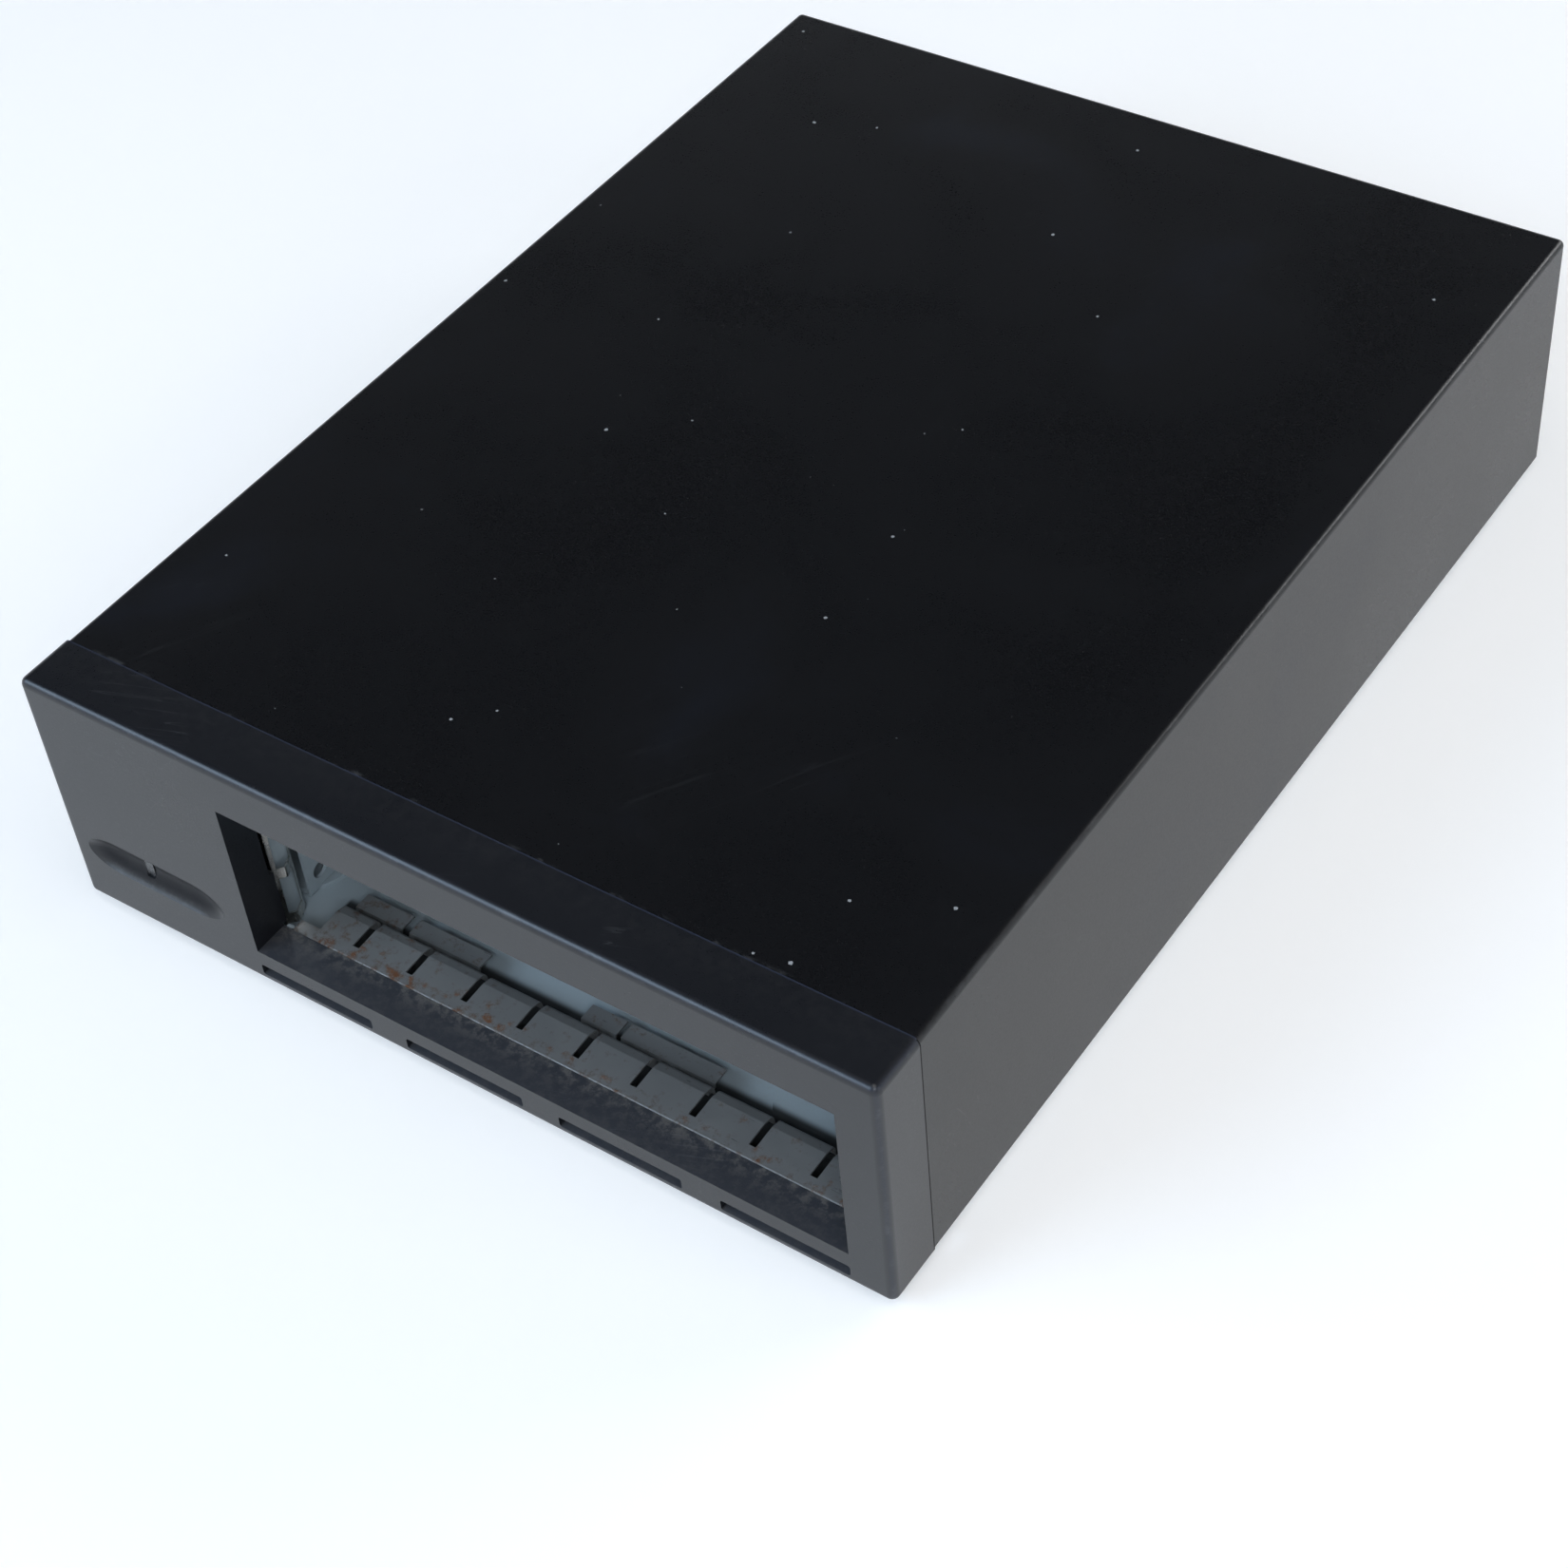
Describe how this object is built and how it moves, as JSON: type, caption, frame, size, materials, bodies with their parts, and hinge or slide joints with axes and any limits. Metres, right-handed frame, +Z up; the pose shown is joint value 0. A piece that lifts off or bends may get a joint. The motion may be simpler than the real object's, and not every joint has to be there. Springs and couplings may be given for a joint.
{
  "type": "external tape drive enclosure",
  "caption": "Desktop steel enclosure for a half-height SCSI tape drive, with an empty front bay, fan, mains inlet, rocker switch and two 68-pin ports.",
  "frame": {"origin": "centre of the bounding box at the feet's underside, on the table", "axes": "+X to the right seen from the front, +Y from the bezel to the rear panel, +Z up"},
  "size_m": [0.209, 0.2904, 0.0663],
  "materials": {
    "cover_paint": "satin black powder coat",
    "chassis_paint": "light blue-grey paint",
    "bezel_plastic": "satin black moulding",
    "clear_plastic": "clear moulding",
    "lamp_epoxy": "tinted epoxy",
    "spring_steel": "plain steel with rust",
    "bright_steel": "bright steel",
    "zinc_steel": "zinc plated",
    "nickel_screw": "nickel plated",
    "foot_rubber": "black rubber",
    "fan_plastic": "black moulding",
    "bronze_bush": "sintered bronze",
    "stator_steel": "laminated steel and enamelled wire",
    "steel_shaft": "ground steel",
    "magnet_ring": "bonded ferrite",
    "nickel_shell": "nickel plated",
    "port_plastic": "black moulding",
    "contact_gold": "gold plated",
    "inlet_plastic": "black moulding",
    "nickel_pin": "nickel plated",
    "switch_plastic": "black moulding",
    "rocker_plastic": "black moulding",
    "id_plastic": "black moulding",
    "board_laminate": "brown laminate",
    "brass_standoff": "brass",
    "ferrite_coil": "ferrite and tape",
    "capacitor_sleeve": "sleeved can",
    "heatsink_metal": "plain aluminium",
    "choke_winding": "enamelled wire",
    "fuse_glass": "ceramic fuse",
    "header_nylon": "natural nylon"
  },
  "bodies": {
    "enclosure": {"top_cover": "cover_paint", "chassis_base": "chassis_paint", "rear_panel": "chassis_paint", "front_bulkhead": "chassis_paint", "psu_divider": "chassis_paint", "front_bezel": "bezel_plastic", "led_lens": "clear_plastic", "power_led": "lamp_epoxy", "emi_strip_bottom": "spring_steel", "emi_strip_left": "bright_steel", "drive_bracket_left": "zinc_steel", "drive_bracket_right": "zinc_steel", "bracket_screws": "nickel_screw", "cover_screws": "nickel_screw", "fan_screws": "nickel_screw", "psu_board_screws": "nickel_screw", "rubber_feet": "foot_rubber", "fan_frame": "fan_plastic", "fan_bearing": "bronze_bush", "fan_stator": "stator_steel", "scsi_lower_shell": "nickel_shell", "scsi_lower_insulator": "port_plastic", "scsi_lower_contacts": "contact_gold", "scsi_upper_shell": "nickel_shell", "scsi_upper_insulator": "port_plastic", "scsi_upper_contacts": "contact_gold", "scsi_jackscrews": "nickel_screw", "inlet_housing": "inlet_plastic", "inlet_pins": "nickel_pin", "switch_housing": "switch_plastic", "switch_terminals": "nickel_pin", "id_switch_housing": "id_plastic", "psu_board": "board_laminate", "psu_standoffs": "brass_standoff", "psu_transformer": "ferrite_coil", "psu_bulk_capacitors": "capacitor_sleeve", "psu_heatsinks": "heatsink_metal", "psu_choke": "choke_winding", "psu_fuse": "fuse_glass", "psu_output_header": "header_nylon"},
    "fan_wheel": {"fan_rotor": "fan_plastic", "fan_shaft": "steel_shaft", "fan_magnet_ring": "magnet_ring"},
    "rocker": {"power_rocker": "rocker_plastic"},
    "plus_key": {"id_plus_button": "id_plastic"},
    "minus_key": {"id_minus_button": "id_plastic"},
    "digit_drum": {"id_digit_wheel": "id_plastic"}
  },
  "joints": [
    {"name": "fan_spin", "type": "hinge", "parent": "enclosure", "child": "fan_wheel", "pos_m": [-0.0206, 0.12485, 0.0342], "axis": [0, 1, 0], "continuous": true},
    {"name": "power_switch_tilt", "type": "hinge", "parent": "enclosure", "child": "rocker", "pos_m": [-0.0812, 0.13735, 0.0508], "axis": [1, 0, 0], "range_deg": [0, 20]},
    {"name": "plus_push", "type": "slide", "parent": "enclosure", "child": "plus_key", "axis": [0, -1, 0], "range_m": [0, 0.0009], "stiffness_N_per_m": 300},
    {"name": "minus_push", "type": "slide", "parent": "enclosure", "child": "minus_key", "axis": [0, -1, 0], "range_m": [0, 0.0009], "stiffness_N_per_m": 300},
    {"name": "digit_turn", "type": "hinge", "parent": "enclosure", "child": "digit_drum", "pos_m": [-0.0661, 0.13615, 0.0506], "axis": [1, 0, 0], "continuous": true}
  ]
}
